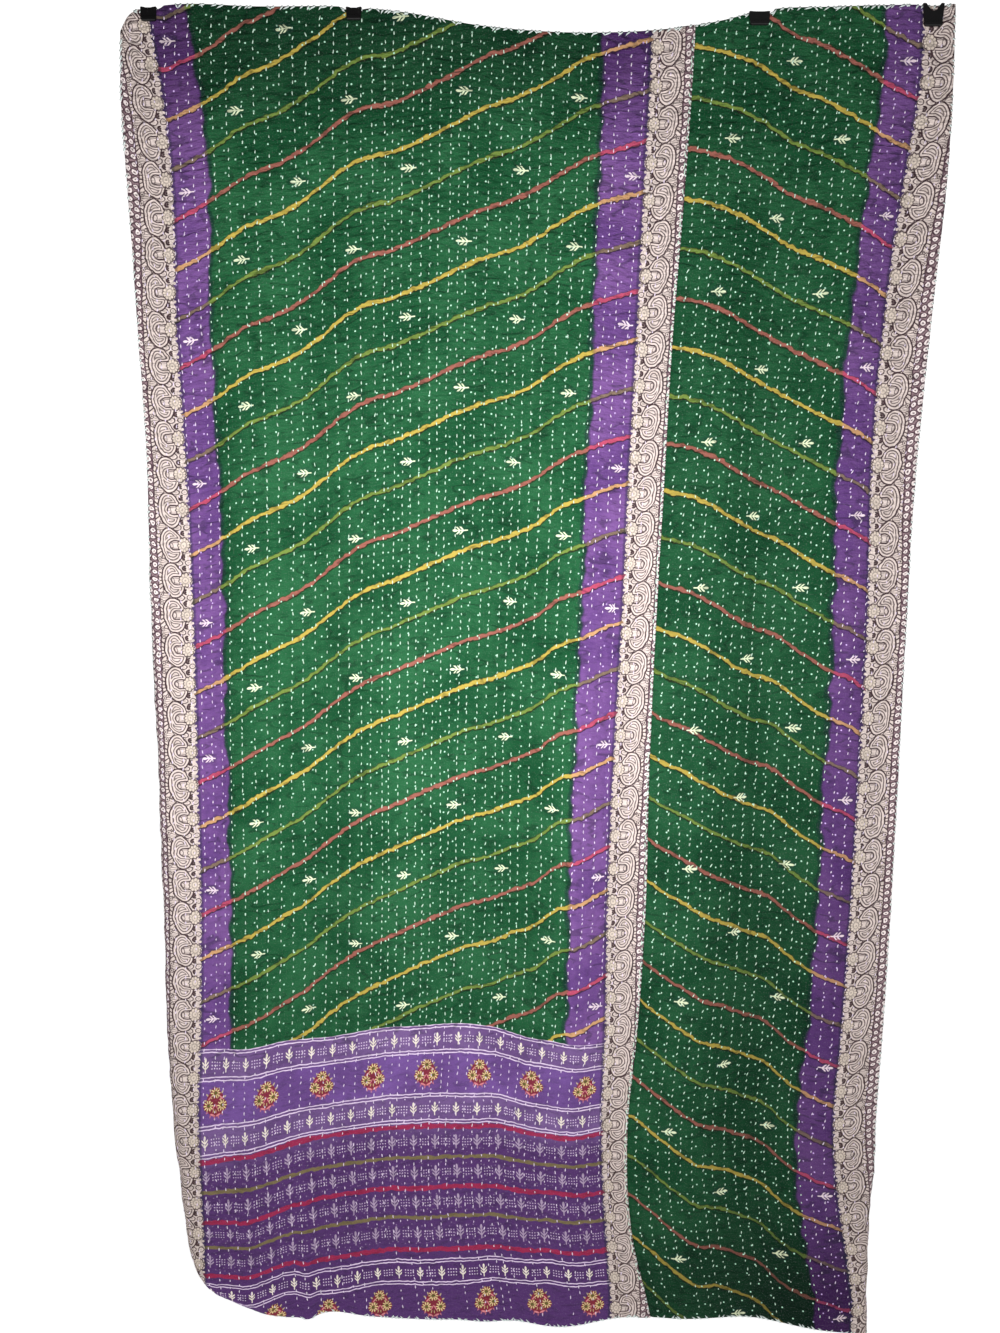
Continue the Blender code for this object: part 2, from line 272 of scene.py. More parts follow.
# How the print lies on the hung cloth: where its borders begin, how far its weft
# sags, and how its slanting stripes run, all as they are drawn in by the stitching.
FIELD = 0.79  # flat width of the wide print between its two cream borders
STRIPE_REPEAT = 0.237  # one red, one yellow and one olive stripe
WIDE_FIELD = mm([
    # below the clips' line, left border's inner edge, right border's inner edge
    (0, -634, 187), (100, -617, 186), (250, -601, 179), (500, -601, 170), (750, -593, 159),
    (1000, -589, 150), (1250, -590, 138), (1500, -591, 130), (1750, -599, 128), (1900, -607, 124),
    (2050, -606, 129), (2150, -604, 137), (2250, -605, 145),
])
WIDE_WEFT = mm([
    # across, sag
    (-600, 34), (-500, 24), (-400, 13), (-300, 5), (-200, -6), (-100, -9), (0, -3), (80, 3),
    (160, 6),
])
WIDE_STRIPES = mm([
    # across, how far below the clips the second and seventh yellow stripes lie
    (-600, 417, 1606), (-520, 377, 1566), (-480, 350, 1542), (-440, 333, 1519), (-400, 312, 1498),
    (-360, 287, 1466), (-320, 258, 1435), (-280, 239, 1411), (-240, 232, 1393), (-200, 216, 1375),
    (-160, 197, 1359), (-120, 178, 1343), (-80, 158, 1336), (-40, 146, 1323), (0, 129, 1306),
    (40, 109, 1273), (80, 85, 1262), (120, 72, 1245), (180, 55, 1228),
])
END_LINES = mm([
    # across, how far below the clips the end panel's top line and red bands lie
    (-600, 1775, 1988, 2103, 2205), (-560, 1774, 1981, 2103, 2208),
    (-520, 1770, 1971, 2098, 2205), (-490, 1762, 1960, 2084, 2191),
    (-455, 1754, 1949, 2070, 2177), (-414, 1755, 1943, 2062, 2177),
    (-373, 1755, 1940, 2058, 2179), (-333, 1744, 1929, 2046, 2168),
    (-305, 1735, 1921, 2037, 2157), (-257, 1724, 1910, 2027, 2146),
    (-198, 1722, 1909, 2028, 2149), (-120, 1723, 1915, 2030, 2153), (-71, 1734, 1917, 2034, 2152),
    (-43, 1745, 1925, 2042, 2158), (-13, 1752, 1930, 2043, 2158), (33, 1751, 1929, 2036, 2149),
    (75, 1758, 1931, 2041, 2155), (120, 1762, 1929, 2045, 2160),
])
END_RED = (0.189, 0.306, 0.425)  # the red bands, from the end panel's top line


def stepped(knots, at):
    """Straight lines through (drop, value) knots, carried on past both ends."""
    (near, start), (far, end), *_ = knots
    value = start + (at - near) * (end - start) / (far - near)
    for (near, start), (far, end) in zip(knots[1:], knots[2:]):
        value = np.where(at > near, start + (at - near) * (end - start) / (far - near), value)
    return value


def wide_print(across, drop):
    """Where a point of the wide panel lies on its print, and on its stripes."""
    below = below_clips(across, drop)
    left, right = (curve(WIDE_FIELD, below, n) for n in (1, 2))
    over = (across - left) / (right - left) * FIELD
    over = np.where(across < left, across - left, over)
    over = np.where(across > right, FIELD + across - right, over)
    second, seventh = (curve(WIDE_STRIPES, across, n) for n in (1, 2))
    stripe = 1 + 5 * (below - second) / (seventh - second)
    lines = [curve(END_LINES, across, n) for n in (1, 2, 3, 4)]
    past_end = stepped(list(zip(lines, (0.0, *END_RED))), below)
    down = below - curve(WIDE_WEFT, across)
    return np.stack([over, down], axis=-1), np.stack([stripe, past_end], axis=-1)


class Value:
    """A value in a finish. Arithmetic on values adds nodes."""

    def __init__(self, finish, socket):
        self.finish = finish
        self.socket = socket

    def math(self, operation, *others):
        return self.finish.node("Math", dict(enumerate((self, *others))), operation=operation)

    __add__ = __radd__ = partialmethod(math, "ADD")
    __sub__ = partialmethod(math, "SUBTRACT")
    __mul__ = __rmul__ = partialmethod(math, "MULTIPLY")
    __truediv__ = partialmethod(math, "DIVIDE")
    __abs__ = partialmethod(math, "ABSOLUTE")

    def __rsub__(self, other):
        return (self * -1) + other


class Finish:
    """The nodes of a material or a surround."""

    def __init__(self, owner):
        self.owner = owner
        owner.use_nodes = True
        owner.node_tree.nodes.clear()

    def node(self, kind, sockets=None, out=0, **settings):
        made = self.owner.node_tree.nodes.new("ShaderNode" + kind)
        for name, value in settings.items():
            setattr(made, name, value)
        for name, value in (sockets or {}).items():
            if isinstance(value, Value):
                self.owner.node_tree.links.new(value.socket, made.inputs[name])
            else:
                made.inputs[name].default_value = value
        return Value(self, made.outputs[out]) if made.outputs else None

    def surface(self, colour, roughness, height, depth, **fixed):
        """One surface, raised by height times depth. Returns the material."""
        bump = self.node("Bump", {"Height": height, "Distance": depth, "Strength": 1.0})
        sockets = {"Base Color": colour, "Roughness": roughness, "Normal": bump}
        sockets.update({name.replace("_", " "): value for name, value in fixed.items()})
        self.node("OutputMaterial", {"Surface": self.node("BsdfPrincipled", sockets)})
        return self.owner


def dye(red, green, blue):
    """A colour from the 0 to 255 values of a screen."""
    def lit(part):
        part = part / 255
        return part / 12.92 if part <= 0.04045 else ((part + 0.055) / 1.055) ** 2.4
    return (lit(red), lit(green), lit(blue), 1.0)


def mix(share, under, over):
    """One colour laid over another."""
    finish = next(part.finish for part in (share, under, over) if isinstance(part, Value))
    return finish.node("Mix", {0: share, 6: under, 7: over}, 2, data_type="RGBA")


def coated(colour, *coats):
    """A colour with coats laid over it in turn, each a share and a colour."""
    for share, over in coats:
        colour = mix(share, colour, over)
    return colour


def rise(value, start, end, **ends):
    """0 below start and 1 above end, with a soft step between."""
    sockets = {"Value": value, "From Min": start, "From Max": end, **ends}
    return value.finish.node("MapRange", sockets, interpolation_type="SMOOTHSTEP")


def fall(value, start, end):
    """1 below start and 0 above end."""
    return rise(value, start, end, **{"To Min": 1.0, "To Max": 0.0})


def stroke(value, half, edge):
    """1 within half of nought to either side, and 0 past the edge."""
    return fall(abs(value), half, edge)


def laid(share, under, over):
    """One mask laid over another, where share is 1."""
    return under * (1 - share) + over * share


def repeat(value, pitch, start=0.0):
    """Distance from the nearest of marks that stand a pitch apart."""
    return ((value - start) / pitch + 0.5).math("FRACT") * pitch - pitch / 2


def either(*masks):
    """The strongest of several masks."""
    result = masks[0]
    for mask in masks[1:]:
        result = result.math("MAXIMUM", mask)
    return result


def length(x, y):
    return (x * x + y * y).math("SQRT")


def flat_place(x, y):
    return x.finish.node("CombineXYZ", {0: x, 1: y})


def cloudy(place, scale, detail=2.0, dimensions="3D"):
    """Cloudy variation from 0 to 1."""
    sockets = {"Vector": place, "Scale": scale, "Detail": detail}
    return place.finish.node("TexNoise", sockets, noise_dimensions=dimensions)


def noise(place, scale, detail=2.0):
    """Cloudy variation over the print, some tenths to either side of 0."""
    return cloudy(place, scale, detail, "2D") - 0.5


def scattered(place, scale, feature="F1"):
    """Distance from scattered points, or from the lines halfway between them."""
    sockets = {"Vector": place, "Scale": scale, "Randomness": 1.0}
    return place.finish.node("TexVoronoi", sockets, voronoi_dimensions="2D", feature=feature)


# The small feathery sprig of the print: a leaf at its tip, two chevrons and a stem.
SPRIG = 0.027  # tip to stem
SPRIG_LEAF = (0.005, 0.0048, 0.0022)  # middle, half length, half width
SPRIG_CHEVRONS = (0.0142, 0.0202)
SPRIG_ARM = 0.0064
SPRIG_STEM = 0.0155


def sprig(along, aside):
    """The sprig's mask, from the distances past its tip and to one side."""
    aside = abs(aside)
    middle, half_length, half_width = SPRIG_LEAF
    marks = [fall(length((along - middle) / half_length, aside / half_width), 0.8, 1.15)]
    for place in SPRIG_CHEVRONS:
        arm = stroke(along - place + aside, 0.0012, 0.0021)
        marks.append(arm * fall(aside, SPRIG_ARM - 0.0008, SPRIG_ARM + 0.0008))
    marks.append(stroke(along - SPRIG_STEM, 0.0105, 0.0118) * fall(aside, 0.0006, 0.0014))
    return either(*marks)


def ring_of_petals(x, y, count, reach, half_length, half_width):
    """Separate petals round a point, a reach from it to their middles."""
    far = length(x, y)
    turn = repeat(y.math("ARCTAN2", x) / math.tau * count, 1.0)
    aside = turn * far * (math.tau / count)
    return fall(length((far - reach) / half_length, aside / half_width), 0.75, 1.2)


def nearest(value, places):
    """Signed distance from the nearest of several places."""
    best = value - places[0]
    for before, place in zip(places, places[1:]):
        nearer = value.math("GREATER_THAN", (before + place) / 2)
        best = best - nearer * (place - before)
    return best


# The cream border: one large open scroll to a repeat, with a rosette in its mouth, buds
# and curls between two scrolls, and a chain of small rings out to its edge.
BORDER_REPEAT = 0.0597
BORDER_SPECKS = 175.0  # specks of ink to a metre between the motifs
SCROLL_PLACE = 0.0306  # its middle, from the border's inner edge
SCROLL_HALF = (0.0182, 0.0301)  # half width, half height
SCROLL_LEAN = 0.1  # its foot leans to the inner edge
SCROLL_RINGS = (
    # how far in from its outline, half thickness, strength
    (0.0, 0.0009, 1.0), (0.0054, 0.0006, 0.9), (0.01, 0.0006, 0.8),
)
MOUTH_END = 0.0036  # how far past the scroll's middle its mouth reaches
MOUTH_HALF = (0.0081, 0.0075)
MOUTH_RIM = 0.0095
MOUTH_LINE = 0.0032  # a finer line inside the mouth
LEAF_HALF = (0.0028, 0.0054)  # the leaf that stands in the mouth
ROSETTE_PLACE = 0.0102
ROSETTE_RADIUS = 0.0092
ROSETTE_TALL = 1.28  # its height over its width
ROSETTE_PETALS = 11
BORDER_BUDS = (
    # from the inner edge, from halfway between two scrolls, half width, half height, heart
    (0.004, 0.0, 0.0052, 0.0044, 0.3), (0.019, 0.0, 0.006, 0.0044, 0.3),
    (0.0512, 0.0066, 0.0032, 0.004, 0.9), (0.0512, -0.0066, 0.0032, 0.004, 0.9),
)
CURL_PLACE = (0.0104, 0.0098)  # a pair of dark curls, set out in the same way
CURL_RADIUS = 0.0035
BARB_CENTRE = 0.034  # the barbs past a scroll spread from here, 20 to a turn
BARBS = 20
FAN_PLACE = 0.0462  # a small fan of barbs between two scrolls
FAN_HALF = (0.0076, 0.008)
OUTER_BAND = 0.0548
OUTER_PITCH = 0.0119
OUTER_ROWS = (
    # from the inner edge, radius of a ring
    (0.0602, 0.0033), (0.0708, 0.0038), (0.0816, 0.0033),
)

CREAM = dye(222, 206, 200)
CREAM_SHADE = dye(196, 180, 170)
CREAM_WARM = dye(218, 203, 190)
BORDER_INK = dye(68, 50, 54)
OUTER_GROUND = dye(142, 118, 124)
BORDER_DARKER_BELOW = dye(92, 74, 58)
OUTER_LIGHT = dye(240, 226, 224)
OUTER_INK = dye(72, 50, 60)


def border_print(out, down, wobble):
    """Colour of the cream border, from the distance past its inner edge."""
    out = out + wobble * 0.004
    down = down + wobble * 0.004
    along = repeat(down, BORDER_REPEAT)
    between = repeat(down, BORDER_REPEAT, BORDER_REPEAT / 2)
    place = flat_place(out, down)
    ink = fall(scattered(place, BORDER_SPECKS, "DISTANCE_TO_EDGE"), 0.1, 0.24) * 0.85
    # Barbs fan out past the scroll, and buds and curls fill the gaps between two scrolls.
    inner = fall(out, 0.017, 0.02) * stroke(between, 0.015, 0.018)
    ink = ink * (1 - inner * 0.75)
    barb = rise((along.math("ARCTAN2", out - BARB_CENTRE) * BARBS).math("COSINE"), 0.3, 0.75)
    beyond = rise(out, 0.047, 0.048) * stroke(along, 0.018, 0.021)
    ink = ink * (1 - beyond) + barb * beyond * 0.95
    fan = length((out - FAN_PLACE) / FAN_HALF[0], between / FAN_HALF[1])
    veins = (between.math("ARCTAN2", out - BARB_CENTRE) * BARBS).math("COSINE")
    veins = rise(veins, 0.4, 0.8) * 0.75
    ink = ink * rise(fan, 0.9, 1.0) + veins * fall(fan, 0.7, 0.85)
    ink = either(ink, stroke(fan - 1.0, 0.06, 0.18) * 0.75)
    for over, past, half_over, half_past, heart in BORDER_BUDS:
        far = length((out - over) / half_over, (between - past) / half_past)
        line = either(stroke(far - 1.0, 0.12, 0.3) * 0.95, fall(far, 0.3, 0.55) * heart)
        ink = laid(fall(far, 1.05, 1.2), ink, line)
    curl_past = abs(between) - CURL_PLACE[1]
    curl_over = out - CURL_PLACE[0]
    far = length(curl_over, curl_past)
    curl = stroke(far - CURL_RADIUS, 0.0012, 0.002)
    curl = curl * rise(curl_over + far * 0.5, -0.0004, 0.0004)
    curl = either(curl, fall(far, 0.0015, 0.0023))
    ink = laid(fall(far, CURL_RADIUS + 0.0016, CURL_RADIUS + 0.0024), ink, curl)
    # The scroll: rings that follow its outline and turn back round the ends of its arms.
    aside = out - SCROLL_PLACE + along * SCROLL_LEAN
    reach = length(aside, along)
    body = reach - reach / length(aside / SCROLL_HALF[0], along / SCROLL_HALF[1])
    throat = (aside - (MOUTH_END - MOUTH_HALF[0])).math("MAXIMUM", 0.0) / MOUTH_HALF[0]
    mouth = (1 - length(throat, along / MOUTH_HALF[1])) * MOUTH_RIM
    outline = body.math("SMOOTH_MAX", mouth, 0.003)
    ink = ink * rise(body, 0.0, 0.0006)
    for ring, half, strength in SCROLL_RINGS:
        ink = either(ink, stroke(outline + ring, half, half + 0.0008) * strength)
    inner_line = stroke(outline - MOUTH_LINE, 0.0004, 0.0012) * fall(body, -0.005, -0.0038)
    ink = either(ink, inner_line * 0.7)
    leaf = length(aside / LEAF_HALF[0], along / LEAF_HALF[1])
    leaf_line = either(stroke(leaf - 1.0, 0.16, 0.44) * 0.85, fall(leaf, 0.1, 0.3) * 0.4)
    ink = laid(fall(leaf, 1.0, 1.3), ink, leaf_line)
    # The rosette: a scalloped outline, a ring of veins and a small heart.
    to_rosette = length(out - ROSETTE_PLACE, along / ROSETTE_TALL)
    turn = along.math("ARCTAN2", out - ROSETTE_PLACE)
    scallop = (turn * ROSETTE_PETALS).math("COSINE")
    edge = to_rosette - scallop * 0.0006 - ROSETTE_RADIUS
    petals = fall(edge, -0.0004, 0.0)
    veins = rise(scallop * -1, 0.35, 0.8) * stroke(to_rosette - 0.0076, 0.0016, 0.0022)
    heart = either(stroke(to_rosette - 0.0046, 0.0004, 0.0012), fall(to_rosette, 0.0008, 0.0018))
    ink = ink * (1 - petals) + either(veins, heart) * petals * 0.48
    ink = either(ink, stroke(edge - 0.0004, 0.0005, 0.0013) * 0.9)
    cream = mix(rise(wobble, 0.0, 0.3) * 0.5, CREAM, CREAM_SHADE)
    colour = mix(ink, mix(petals, cream, CREAM_WARM), BORDER_INK)
    # The outer chain: columns of pale rings with dark hearts on a dark ground.
    sway = noise(place, 110.0, 1.0) * 0.004
    outer = OUTER_GROUND
    for number, (middle, ring) in enumerate(OUTER_ROWS):
        over = out + sway - middle
        past = repeat(down + over * 0.3 - sway, OUTER_PITCH, OUTER_PITCH * 0.5 * number)
        far = length(over, past)
        outer = coated(outer, (stroke(far - ring - 0.0012, 0.0004, 0.0014) * 0.9, OUTER_INK),
                       (fall(far, ring, ring + 0.0007), OUTER_LIGHT),
                       (fall(far, 0.0007, 0.0017) * 0.9, OUTER_INK))
    return coated(colour, (rise(out, OUTER_BAND - 0.0005, OUTER_BAND + 0.0005), outer),
                  (stroke(out - OUTER_BAND, 0.0006, 0.0013) * 0.9, OUTER_INK))


# The end panel of the print: white double lines, rows of upright sprigs and dots,
# rows of bouquets, and red and olive bands, all set out from its top line.
END_DOUBLE_LINES = (0.0, 0.048, 0.13, 0.179, 0.447, 0.49)
END_OLIVE = (0.248, 0.362)
END_SPRIG_ROWS = (0.0245, 0.156, 0.2185, 0.277, 0.334, 0.3935, 0.47)
END_BOUQUET_ROWS = (0.088, 0.53)
END_SPRIG_PITCH = 0.0411
END_SPRIG_START = 0.0113
END_SPRIG_SCALE = 0.93
END_PALE_SCALE = 1.06
END_BOUQUET_PITCH = 0.103
END_BOUQUET_START = 0.033
END_DOT_PITCH = 0.005
FLOWERS = ((0.0, -0.0162), (-0.0134, 0.0048), (0.0134, 0.0048))
BOUQUET_LEAVES = (
    # from the posy's middle line, below its middle, slope, half length
    (0.0054, 0.0212, -0.4, 0.005), (0.0112, -0.008, 0.9, 0.0032), (0.003, 0.007, 1.6, 0.003),
)

END_VIOLET = dye(118, 90, 141)
END_VIOLET_LIGHT = dye(116, 82, 150)
END_VIOLET_DARK = dye(82, 51, 104)
LINE_WHITE = dye(226, 205, 232)
SPRIG_WHITE = dye(236, 226, 212)
SPRIG_ON_GREEN = dye(226, 238, 200)
SPRIG_ON_VIOLET = dye(234, 214, 226)
# the colour of the sprigs in painted shade
SPRIG_IN_SHADE = dye(130, 120, 96)
DOT_ON_GREEN = dye(186, 232, 206)
DOT_ON_VIOLET = dye(206, 176, 232)
SPRIG_PALE = dye(168, 148, 174)
END_RED_DYE = dye(156, 40, 74)
END_OLIVE_DYE = dye(122, 110, 66)
MAROON = dye(128, 42, 52)
PETAL = dye(224, 206, 146)
PETAL_EYE = dye(96, 96, 44)
BLOSSOM_PINK = dye(214, 130, 138)


def bouquet(x, y, colour):
    """A posy over a colour: three flowers on maroon, and pink leaves."""
    body = fall(length(x / 0.0186, (y - 0.0014) / 0.024), 0.92, 1.02)
    for over, down in FLOWERS:
        body = either(body, fall(length(x - over, y - down), 0.0094, 0.0104))
    round_y = (y - 0.001) * 0.8
    fringe = ring_of_petals(x, round_y, 15, 0.0198, 0.003, 0.0013) * 0.6
    sparks = ring_of_petals(x, round_y, 13, 0.0112, 0.0026, 0.0009) * 0.6
    colour = coated(colour, (fringe, mix(rise(y, 0.006, 0.012), PETAL, BLOSSOM_PINK)),
                    (body * 0.94, MAROON), (sparks, PETAL))
    for middle, drop, slope, half in BOUQUET_LEAVES:
        aside = abs(x) - middle
        leaf = length(aside / half, (y - drop - aside * slope) / 0.002)
        colour = mix(fall(leaf, 0.75, 1.15), colour, BLOSSOM_PINK)
    for over, down in FLOWERS:
        petals = ring_of_petals(x - over, y - down, 10, 0.0066, 0.0033, 0.0011)
        eye = fall(length(x - over, y - down), 0.0022, 0.0032)
        colour = coated(colour, (petals, PETAL), (eye, PETAL_EYE))
    return colour


def end_print(over, past, cloud, wobble):
    """Colour of the end panel, from the distance past its top line."""
    from_posies = nearest(past, END_BOUQUET_ROWS)
    posy_band = stroke(from_posies, 0.034, 0.04) * fall(past, 0.3, 0.4)
    colour = coated(END_VIOLET, (rise(past, 0.16, 0.23), END_VIOLET_DARK),
                    (posy_band, END_VIOLET_LIGHT), (rise(cloud, -0.2, 0.2) * 0.5, END_VIOLET_DARK))
    row = nearest(past, END_SPRIG_ROWS)
    in_row = stroke(row, 0.019, 0.022)
    pale = rise(past, 0.185, 0.195) * fall(past, 0.43, 0.44)
    sprig_at = repeat(over, END_SPRIG_PITCH, END_SPRIG_START)
    scale = END_SPRIG_SCALE + pale * (END_PALE_SCALE - END_SPRIG_SCALE)
    marks = sprig((row + wobble * 0.0015) / scale + SPRIG / 2, sprig_at / scale + wobble * 0.001)
    grid_at = repeat(over, END_SPRIG_PITCH, END_SPRIG_START + END_SPRIG_PITCH / 2)
    dot = length(repeat(grid_at + wobble * 0.001, END_DOT_PITCH, END_DOT_PITCH / 2),
                 repeat(row + wobble * 0.001, END_DOT_PITCH * 1.08))
    grid = fall(dot, 0.0007, 0.0017) * stroke(grid_at, 0.0094, 0.01) * stroke(row, 0.007, 0.0078)
    specks = fall(scattered(flat_place(over, past), 90.0), 0.08, 0.15) * pale * in_row
    colour = coated(colour, (marks * in_row, mix(pale, SPRIG_WHITE, SPRIG_PALE)),
                    (grid * in_row * (0.9 - pale * 0.25), LINE_WHITE), (specks * 0.2, LINE_WHITE))
    for bands, half, soft, share, colour_of in ((END_RED, 0.0037, 0.0052, 0.9, END_RED_DYE),
                                                (END_OLIVE, 0.0026, 0.0042, 0.85, END_OLIVE_DYE)):
        for band in bands:
            ribbon = stroke(past + wobble * 0.006 - band, half, soft)
            colour = mix(ribbon * share, colour, colour_of)
    pair = abs(nearest(past + wobble * 0.003, END_DOUBLE_LINES)) - 0.0028
    colour = mix(stroke(pair, 0.0006, 0.0014), colour, LINE_WHITE)
    posy_at = repeat(over, END_BOUQUET_PITCH, END_BOUQUET_START)
    return bouquet(posy_at, from_posies, colour)


# The field of the print: violet down each side, green between, and the slanting stripes.
VIOLET_LEFT = 0.061  # width of the violet beside the left border
VIOLET_RIGHT = 0.076
SPRIG_PITCH = 0.1866  # between sprigs of a row; rows stand half a stripe repeat apart
SPRIG_START = 0.023
SPRIG_ROW_START = 0.261
PIN_DOTS = (27.75, 28.0)  # dots to a metre over and down, in rows half a step apart
PIN_DOT_SLOPE = 0.0625  # the rows of dots climb towards the seam
PIN_DOT_START = (0.05, 0.35)
PIN_DOT = 0.0013
GREEN = dye(38, 96, 60)
GREEN_DEEP = dye(20, 75, 44)
VIOLET = dye(120, 82, 144)
VIOLET_DEEP = dye(98, 64, 126)
DYE_EDGE = dye(26, 40, 50)
# painted shade colours: dark green, also laid in the puckers and creases, and dark violet
PAINTED_SHADE_DARK = dye(3, 24, 15)
VIOLET_PAINTED_SHADE = dye(38, 8, 52)
STRIPES = [
    # place in the repeat, half width, colour on green, colour on violet
    (-1 / 3, 0.0031, dye(158, 95, 84), dye(188, 76, 105)),
    (0.0, 0.0031, dye(191, 168, 76), dye(206, 158, 110)),
    (1 / 3, 0.0028, dye(115, 138, 63), dye(128, 109, 90)),
]
STRIPE_EDGE = dye(60, 46, 16)
STRIPE_SHADE = dye(34, 24, 14)
BACK_VEIL = dye(158, 152, 152)  # how the paler back of the cloth looks through
WORN = dye(205, 200, 205)


def pin_dots(over, down):
    """The mask of the small dots all over the field."""
    over = over * PIN_DOTS[0] - PIN_DOT_START[0]
    down = (down + over * (PIN_DOT_SLOPE / PIN_DOTS[0])) * PIN_DOTS[1] - PIN_DOT_START[1]
    rising = repeat(over + down, 1.0)
    falling = repeat(over - down, 1.0)
    aside = (rising + falling) / (2 * PIN_DOTS[0])
    along = (rising - falling) / (2 * PIN_DOTS[1])
    return fall(length(aside, along), PIN_DOT - 0.0004, PIN_DOT + 0.0006)


def printed_cotton(name, faded, sprig_rows, with_end, overall_shade):
    """The printed, quilted cotton.

    Faded is how much paler the dye has come through. The last argument is how much
    painted shade lies over the whole length. The wide length also has painted shade
    along its top edge, and the narrow one has it low down by its border and along its bottom."""
    finish = Finish(bpy.data.materials.new(name))
    place = finish.node("UVMap", uv_map="print")
    lines = finish.node("UVMap", uv_map="lines")
    over, down = (finish.node("SeparateXYZ", {0: place}, part) for part in (0, 1))
    stripe, past_end = (finish.node("SeparateXYZ", {0: lines}, part) for part in (0, 1))

    def drawn_out(cells_over, cells_down, detail):
        """Noise with long cells, as many to a metre over and down as given."""
        scale = (cells_over, cells_down, 1.0)
        return noise(finish.node("Mapping", {"Vector": place, "Scale": scale}), 1.0, detail)

    cloud = noise(place, 9.0, 3.0)
    ragged = noise(place, 34.0, 3.0)
    wobble = noise(place, 70.0, 1.0)
    frayed = noise(place, 210.0, 1.0)
    out = abs(over - FIELD / 2) - FIELD / 2
    # The ground, whose two dyes bleed a little into each other.
    bled = noise(place, 26.0, 1.0) * 0.018
    beside_border = over + bled - VIOLET_LEFT
    if not with_end:
        beside_border = beside_border - rise(down, 1.6, 2.1) * 0.01
    inside = beside_border.math("MINIMUM", (FIELD - VIOLET_RIGHT) - over + bled)
    green = rise(inside, -0.0024, 0.0024)
    deep = rise(cloud + wobble * 0.3, -0.25, 0.25)
    ground = mix(green, mix(deep, VIOLET, VIOLET_DEEP), mix(deep, GREEN, GREEN_DEEP))
    colour = mix(stroke(inside - 0.0022, 0.002, 0.0066) * 0.55, ground, DYE_EDGE)
    # The slanting stripes, each with a dark edge and a darker lower side.
    on_stripe = 0.0
    for shift, half, on_green, on_violet in STRIPES:
        below = repeat(stripe - shift + wobble * 0.032, 1.0) * STRIPE_REPEAT
        away = abs(below) + frayed * 0.0022
        lower = stroke(below - half - 0.0012, 0.0008, 0.0022) * 0.7
        ribbon = fall(away, half - 0.0006, half + 0.0008)
        on_stripe = on_stripe + ribbon
        colour = coated(colour, (fall(away, half + 0.0006, half + 0.0022) * 0.55, STRIPE_EDGE),
                        (lower, STRIPE_SHADE), (ribbon * 0.92, mix(green, on_violet, on_green)))
    # Painted shade: darker along the wide length's top edge, a little darker low down on the green,
    # darker over the whole narrow length, and on the narrow length darker in its lower part by its
    # border and along its bottom. The stripes keep part of their colour through it.
    painted_shade = fall(down, 0.02, 0.26) * (0.0 if overall_shade else 0.62) + overall_shade
    painted_shade = painted_shade + rise(down, 1.3, 1.6) * green * 0.09
    if overall_shade:
        shade_by_border = rise(down, 0.6, 1.7) * fall(over, 0.1, 0.34)
        painted_shade = painted_shade + shade_by_border * 0.25 + rise(down, 1.95, 2.2) * 0.34
    kept = on_stripe * (fall(down, 0.3, 0.9) * 0.5 + 0.3)
    colour = mix(painted_shade * (1 - kept), colour, mix(green, VIOLET_PAINTED_SHADE, PAINTED_SHADE_DARK))
    # Sprigs in rows, each on a small dark halo, and pin dots between them.
    row = ((down - sprig_rows) / (STRIPE_REPEAT / 2) + 0.5).math("FLOOR")
    row_away = down - sprig_rows - row * (STRIPE_REPEAT / 2)
    sprig_at = repeat(over - SPRIG_START - row * (SPRIG_PITCH / 2), SPRIG_PITCH)
    mark = sprig(sprig_at + SPRIG / 2 + wobble * 0.003, row_away + ragged * 0.003)
    halo = fall(length(sprig_at * 0.6, row_away), 0.008, 0.012) * 0.25
    dots = pin_dots(over, down) * (1 - halo)
    # The sprigs take part of the painted shade.
    sprig_with_shade = mix(painted_shade * 0.35, mix(green, SPRIG_ON_VIOLET, SPRIG_ON_GREEN), SPRIG_IN_SHADE)
    colour = coated(colour, (halo, DYE_EDGE), (dots, mix(green, DOT_ON_VIOLET, DOT_ON_GREEN)),
                    (mark, sprig_with_shade))
    if with_end:
        end = end_print(over, past_end, cloud, wobble)
        colour = mix(rise(past_end, -0.0034, -0.0026), colour, end)
    # The border, with a scalloped inner edge.
    picot = length(out - 0.001, repeat(down, BORDER_REPEAT / 2, BORDER_REPEAT / 4))
    bump = length((out - 0.004) / 0.0056, repeat(down, BORDER_REPEAT / 2) / 0.011)
    in_border = either(rise(out, 0.002, 0.0032), fall(picot, 0.002, 0.0028), fall(bump, 0.9, 1.05))
    # The border is darker towards the bottom.
    border = mix(rise(down, 1.4, 2.2) * 0.12, border_print(out, down, wobble), BORDER_DARKER_BELOW)
    shadow = stroke(out + 0.001, 0.002, 0.006) * 0.5
    colour = coated(colour, (shadow, DYE_EDGE), (in_border, border))
    if faded:
        colour = mix(faded, colour, BACK_VEIL)
